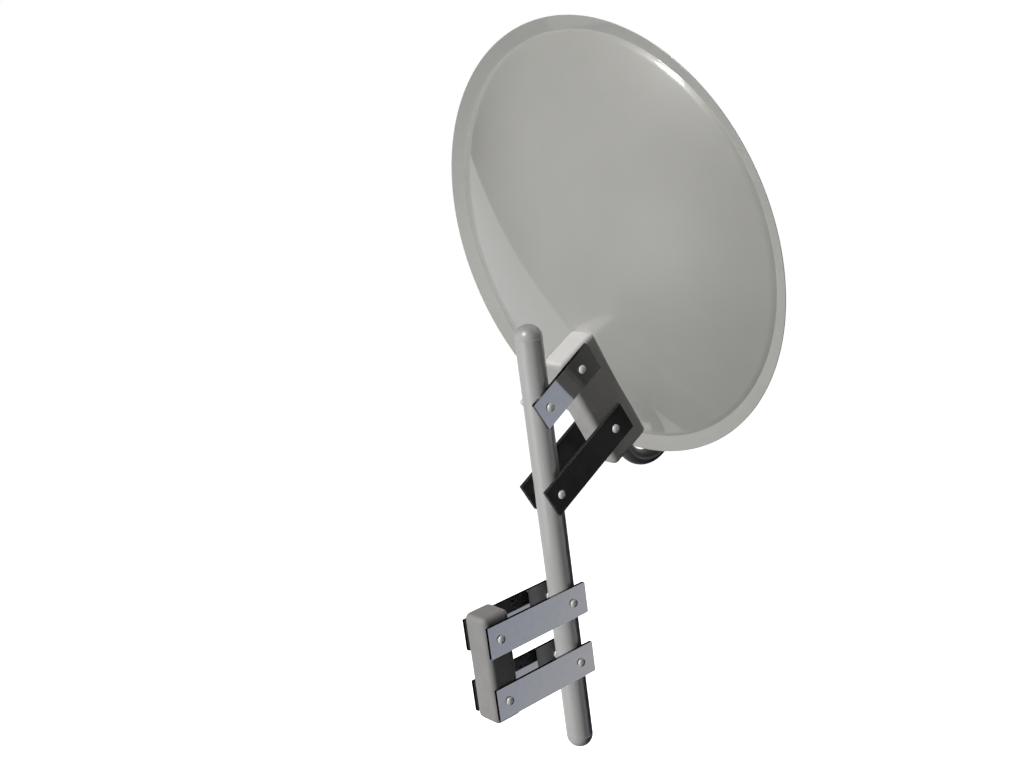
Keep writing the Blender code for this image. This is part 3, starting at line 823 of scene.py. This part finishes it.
def build_dish_block():
    place = block_place()
    item = new_object("block_work", box_mesh("block", BLOCK_LOW, BLOCK_HIGH))
    bevel(item, BLOCK_ROUNDING, 9)
    shape = [(r, h - 0.4 * MM) for r, h in back_points()[:61]]
    profile = [(0.0, 60 * MM), (shape[-1][0], 60 * MM)] + list(reversed(shape))
    combine(item, lathe_mesh("shape", profile, 192), place.inverted() @ dish_place())
    for z in (PIVOT_SPAN, 0.0):
        bore(item, HOLE, (0, -THROUGH, z), (0, THROUGH, z))
    bore(item, ARM_RADIUS + GAP, (ARM_OFFSET, 0, BLOCK_LOW.z - 10 * MM),
         (ARM_OFFSET, 0, ARM_SOCKET_TOP + GAP), 48)
    screw_z = BLOCK_LOW.z + ARM_SCREW_UP
    bore(item, PANEL_SHANK + GAP, (ARM_OFFSET, 6 * MM, screw_z), (ARM_OFFSET, THROUGH, screw_z), 24)
    for y, z in PANEL_SPOTS:
        bore(item, PANEL_SHANK + GAP, (28 * MM, y, z), (80 * MM, y, z), 24)
    finish_piece("dish_block", applied(item), place)


def screw_along(node, place, radius, length, head):
    """Screw with a low domed head and a cross-shaped recess."""
    high = 0.55 * head
    points = [(0.0, high)]
    for i in range(1, 9):
        angle = math.radians(90 - 11 * i)
        points.append((head * math.cos(angle), high * math.sin(angle)))
    profile = points + [(head, 0.0), (radius, 0.0), (radius, -length + 0.5 * MM),
                        (radius - 0.5 * MM, -length), (0.0, -length)]
    item = new_object(node + "_work", lathe_mesh(node, profile, 40))
    for turn in (0, 90):
        reach, half, floor = 0.42 * head, 0.09 * head, 0.28 * head
        slot = box_mesh("slot", (-reach, -half, floor), (reach, half, head))
        combine(item, slot, Matrix.Rotation(math.radians(turn), 4, "Z"))
    finish_piece(node, applied(item), place, 25.0)


def build_panel_bolts():
    to_x = Matrix.Rotation(math.radians(90), 4, "Y")
    for i, (y, z) in enumerate(PANEL_SPOTS):
        seat = front_reach(y, z) + 1.0 * MM
        place = block_place() @ at(seat, y, z) @ to_x
        screw_along("panel_bolt_%d" % (i + 1), place, PANEL_SHANK, PANEL_LENGTH, PANEL_HEAD)


# ---------------------------------------------------------------- feed arm and feed head

def holder_place():
    """Frame of the feed clamp: local X points away from the reflector, Z up."""
    turn = Matrix.Rotation(-DISH_ELEVATION, 4, "Y")
    middle = Vector(DISH_CENTRE) + turn @ Vector((FEED_DISTANCE + CLAMP_AT, 0.0, 0.0))
    return Matrix.Translation(middle) @ turn


def arm_path():
    """Centre line of the arm: socket, bend under the rim, straight run to the clamp."""
    place = block_place()
    start = place @ Vector((ARM_OFFSET, 0.0, ARM_SOCKET_TOP))
    bend_start = place @ Vector((ARM_OFFSET, 0.0, BLOCK_LOW.z - BEND_BELOW_BLOCK))
    heading = -(math.radians(90) - BLOCK_TILT)
    centre = bend_start + ARM_BEND * Vector((-math.sin(heading), 0.0, math.cos(heading)))
    goal = holder_place() @ Vector((0.0, 0.0, -ARM_END_DROP))
    reach = goal - centre
    final = math.atan2(reach.z, reach.x) + math.asin(ARM_BEND / reach.length)
    points = [start]
    count = 40
    for i in range(count + 1):
        angle = heading + (final - heading) * i / count
        points.append(centre + ARM_BEND * Vector((math.sin(angle), 0.0, -math.cos(angle))))
    points.append(goal)
    return points, final


def build_arm():
    """A round bar swept along its path in the XZ plane, with chamfered ends."""
    points, final = arm_path()
    work = bmesh.new()
    steps = 48
    rings = []

    def ring(centre, along, radius):
        side = Vector((-along.z, 0.0, along.x))
        rings.append([
            work.verts.new(centre + radius * (
                math.cos(2 * math.pi * i / steps) * side
                + math.sin(2 * math.pi * i / steps) * Vector((0.0, 1.0, 0.0))))
            for i in range(steps)])

    edge = 1.0 * MM
    first = (points[1] - points[0]).normalized()
    ring(points[0], first, ARM_RADIUS - edge)
    ring(points[0] + first * edge, first, ARM_RADIUS)
    for i in range(1, len(points) - 1):
        along = (points[i + 1] - points[i]).normalized() + (points[i] - points[i - 1]).normalized()
        ring(points[i], along.normalized(), ARM_RADIUS)
    last = Vector((math.cos(final), 0.0, math.sin(final)))
    run = points[-1] - points[-2]
    for i in range(1, 12):
        ring(points[-2] + run * (i / 12), last, ARM_RADIUS)
    ring(points[-1] - last * edge, last, ARM_RADIUS)
    ring(points[-1], last, ARM_RADIUS - edge)
    for before, after in zip(rings, rings[1:]):
        for i in range(steps):
            j = (i + 1) % steps
            work.faces.new((before[i], before[j], after[j], after[i]))
    work.faces.new(rings[0])
    work.faces.new(rings[-1])
    bmesh.ops.recalc_face_normals(work, faces=work.faces)
    mesh = bpy.data.meshes.new("arm")
    work.to_mesh(mesh)
    work.free()
    finish_piece("feed_arm", mesh, UP)
    seat = at(ARM_OFFSET, HALF_WIDTH + GAP, BLOCK_LOW.z + ARM_SCREW_UP)
    place = block_place() @ seat @ TO_LEFT
    screw_along("arm_screw", place, PANEL_SHANK, ARM_SCREW_LENGTH, ARM_SCREW_HEAD)


def cap_outline():
    """Upper half of the clamp, open below, with an ear on each side."""
    shift, ear = 0.2 * MM, 7 * MM
    inner = arc(0.0, 0.0, NECK + GAP, 0, 180, 48)
    outer = arc(0.0, 0.0, NECK + 6 * MM, 163, 17, 40)
    points = [(x, y + shift) for x, y in inner]
    points += [(-34 * MM, shift), (-34 * MM, ear)]
    points += [(x, max(y, ear) + shift) for x, y in outer]
    return points + [(34 * MM, ear), (34 * MM, shift)]


def cradle_outline():
    """Lower half of the clamp with ears and the stem that takes the arm."""
    inner = arc(0.0, -0.2 * MM, NECK + GAP, 180, 360, 48)
    right = [(34, -0.2), (34, -7), (25, -7), (17, -22), (17, -54)]
    points = [(x * MM, y * MM) for x, y in right]
    return inner + points + [(-x, y) for x, y in reversed(points)]


def build_clamp():
    holder = holder_place()
    place = holder @ STAND
    points, final = arm_path()
    direction = Vector((math.cos(final), 0.0, math.sin(final)))
    back = place.inverted()
    for node, outline in (("clamp_cap", cap_outline()), ("clamp_cradle", cradle_outline())):
        item = new_object(node + "_work", flat_mesh(node, [outline], 2 * CLAMP_HALF))
        bevel(item, 0.9 * MM, 3)
        for y in (-CLAMP_SCREW_Y, CLAMP_SCREW_Y):
            bore(item, CLAMP_HOLE, back @ (holder @ Vector((0, y, -20 * MM))),
                 back @ (holder @ Vector((0, y, 20 * MM))), 24)
        if node == "clamp_cradle":
            bore(item, ARM_RADIUS + GAP, back @ (points[-1] - direction * 60 * MM),
                 back @ (points[-1] + direction * GAP), 48)
        finish_piece(node, applied(item), place)
    for y, label in ((-CLAMP_SCREW_Y, "right"), (CLAMP_SCREW_Y, "left")):
        seat = holder @ at(0, y, CLAMP_SEAT)
        screw_along("clamp_screw_" + label, seat, CLAMP_SHANK, CLAMP_LENGTH, CLAMP_HEAD)


def build_feed_head():
    """Horn and box in one moulding, its pale cap, and the cable connector below.

    The axis starts at the horn's mouth, away from the reflector. The profiles of the
    horn and the cap run along it as (radius, -distance).
    """
    turn = Matrix.Rotation(math.radians(-90), 4, "Y")
    base = holder_place() @ at(-CLAMP_AT, 0, 0)
    low = (LNB_START, -LNB_HALF, LNB_BOTTOM)
    high = (LNB_END, LNB_HALF, LNB_HALF)
    item = new_object("lnb_work", box_mesh("lnb", low, high))
    bevel(item, 6 * MM, 6)
    horn = [(0.0, 0.0), (26.4 * MM, 0.0), (27 * MM, -0.6 * MM), (27 * MM, -11 * MM)]
    horn += [(26 * MM, -13 * MM), (20.2 * MM, -22.6 * MM), (NECK, -24.5 * MM), (NECK, -62 * MM)]
    horn += [(20.4 * MM, -62.0 * MM), (21.4 * MM, -63 * MM), (21.4 * MM, -66 * MM), (0.0, -66 * MM)]
    combine(item, lathe_mesh("horn", horn, 72), turn, "UNION")
    seam = flat_mesh("seam", [
        rectangle(-30 * MM, -40 * MM, 30 * MM, 30 * MM),
        rectangle(SEAM_DEPTH - LNB_HALF, LNB_BOTTOM + SEAM_DEPTH,
                  LNB_HALF - SEAM_DEPTH, LNB_HALF - SEAM_DEPTH),
    ], SEAM_WIDTH)
    combine(item, seam, at(SEAM_X, 0, 0) @ STAND)
    finish_piece("lnb_body", applied(item), base)
    cap = [(0.0, 2.6 * MM), (14 * MM, 2.45 * MM), (22 * MM, 2.1 * MM)]
    cap += arc(26.4 * MM, -0.9 * MM, 2.6 * MM, 80, 0, 8)
    cap += [(29 * MM, -8.6 * MM), (28.6 * MM, -9 * MM), (27.3 * MM, -9 * MM)]
    cap += [(27.3 * MM, 0.3 * MM), (0.0, 0.3 * MM)]
    finish_piece("feed_cap", lathe_mesh("cap", cap, 72), base @ turn)
    plug = [(0.0, 0.0), (6.6 * MM, 0.0), (7 * MM, -0.4 * MM), (7 * MM, -4.6 * MM)]
    plug += [(6.6 * MM, -5 * MM), (4.9 * MM, -5 * MM)]
    for i in range(THREADS):
        top = -5.2 - THREAD_PITCH * i
        plug += [(4.45 * MM, top * MM), (4.8 * MM, (top - THREAD_PITCH / 2) * MM)]
    plug += [(4.3 * MM, -16 * MM), (3.4 * MM, -16 * MM), (3.4 * MM, -12 * MM), (0.0, -12 * MM)]
    seat = base @ at(PLUG_X, 0, LNB_BOTTOM - GAP)
    finish_piece("f_connector", lathe_mesh("plug", plug, 48), seat, 25.0)


build_wall_bracket()
build_wall_straps()
build_mast()
build_links()
build_dish_block()
build_reflector()
build_panel_bolts()
build_arm()
build_clamp()
build_feed_head()


# ---------------------------------------------------------------- floor, light and camera

FLOOR_Z = -1.1
FLOOR_HALF = 60.0
CAMERA_LENS = 49.992
CAMERA_AT = (-1.08470, -1.49281, 0.91390)
CAMERA_TURN = (74.6466, 7.3662, -41.0651)
KEY_FROM = Vector((-0.722, -0.055, 0.690))
LOW_FROM = Vector((0.228, 0.804, -0.548))
FRONT_FROM = Vector((0.84, 0.52, 0.10))
GLOW_FROM = Vector((0.261, 0.812, -0.522))
FILL_FROM = Vector((-0.94, 0.11, -0.30))
STRAP_SEES = Vector((0.585, -0.715, -0.37))
STRAP_TURNS = Vector((0.64, 0.71, -0.29))
MIDDLE = Vector((0.28, 0.0, 0.42))
WIDE_LIGHT = 3.25
WHITE = (1.0, 1.0, 1.0)
WARM = (1.0, 0.985, 0.95)
WORLD_DIM = 0.015
PATCH_COOL = (1.51, 1.61, 1.86, 1.0)
PATCH_BRIGHT = (2.03, 2.03, 2.10, 1.0)


def build_floor():
    """A very large pale floor, lit evenly so that it stays plain."""
    mesh = bpy.data.meshes.new("floor")
    work = bmesh.new()
    bmesh.ops.create_grid(work, x_segments=4, y_segments=4, size=FLOOR_HALF)
    work.to_mesh(mesh)
    work.free()
    floor = new_object("floor", mesh)
    floor.location = (0.0, 0.0, FLOOR_Z)
    made = bpy.data.materials.new("floor")
    made.use_nodes = True
    shader = made.node_tree.nodes["Principled BSDF"]
    shader.inputs["Base Color"].default_value = grey(0.9)
    shader.inputs["Roughness"].default_value = 1.0
    shader.inputs["Specular IOR Level"].default_value = 0.0
    shader.inputs["Emission Color"].default_value = grey(1.0)
    shader.inputs["Emission Strength"].default_value = 1.0
    mesh.materials.append(made)
    floor.visible_diffuse = False
    floor.visible_glossy = False
    floor.visible_shadow = False


def build_world():
    """White to the camera, almost dark otherwise, one narrow bright patch for gloss."""
    world = bpy.data.worlds.new("studio")
    bpy.context.scene.world = world
    world.use_nodes = True
    tree = world.node_tree
    n = Nodes(tree)
    back = tree.nodes["Background"]
    path = tree.nodes.new("ShaderNodeLightPath")
    place = tree.nodes.new("ShaderNodeTexCoord")

    def toward(direction, low, high, level):
        dot = tree.nodes.new("ShaderNodeVectorMath")
        dot.operation = "DOT_PRODUCT"
        n.put(dot, "0", place.outputs["Generated"])
        dot.inputs[1].default_value = direction.normalized()
        return n.spread(dot.outputs["Value"], low, high, 0.0, level)

    strap = toward(STRAP_SEES, 0.965, 0.985, 1.0)
    gloss = n.math("MULTIPLY", path.outputs["Is Glossy Ray"], strap)
    tint = n.mix(toward(STRAP_TURNS, -0.048, 0.028, 1.0), PATCH_COOL, PATCH_BRIGHT)
    shown = n.mix(path.outputs["Is Camera Ray"], grey(WORLD_DIM), grey(1.0))
    n.put(back, "Color", n.mix(gloss, shown, tint))
    back.inputs["Strength"].default_value = 1.0


def round_light(name, direction, distance, radius, radiance, colour=WHITE, shadow=True):
    """A disc of light that faces the object and that the camera doesn't see."""
    light = bpy.data.lights.new(name, "AREA")
    light.shape = "DISK"
    light.size = 2 * radius
    light.energy = radiance * math.pi * math.pi * radius ** 2
    light.color = colour
    light.use_shadow = shadow
    item = new_object(name, light)
    direction = direction.normalized()
    item.location = MIDDLE + direction * distance
    item.rotation_euler = direction.to_track_quat("Z", "Y").to_euler()
    item.visible_camera = False
    return item


build_floor()
build_world()
round_light(
    "key", KEY_FROM, distance=5.0, radius=0.6, radiance=39.4, colour=WARM, shadow=False)
low_light = round_light("low", LOW_FROM, distance=5.0, radius=WIDE_LIGHT, radiance=0.65)
low_light.visible_glossy = False
glow_light = round_light("glow", GLOW_FROM, distance=5.0, radius=WIDE_LIGHT, radiance=0.54)
glow_light.visible_diffuse = False
fill_light = round_light(
    "fill", FILL_FROM, distance=4.0, radius=1.0, radiance=10.2, shadow=False)
fill_light.visible_glossy = False
front_light = round_light("front", FRONT_FROM, distance=3.0, radius=0.9, radiance=8.0)
front_light.visible_glossy = False

camera = bpy.data.cameras.new("camera")
camera.sensor_width = 36.0
camera.lens = CAMERA_LENS
viewer = new_object("camera", camera)
viewer.location = CAMERA_AT
viewer.rotation_euler = [math.radians(a) for a in CAMERA_TURN]
bpy.context.scene.camera = viewer
bpy.context.scene.view_settings.view_transform = "Standard"
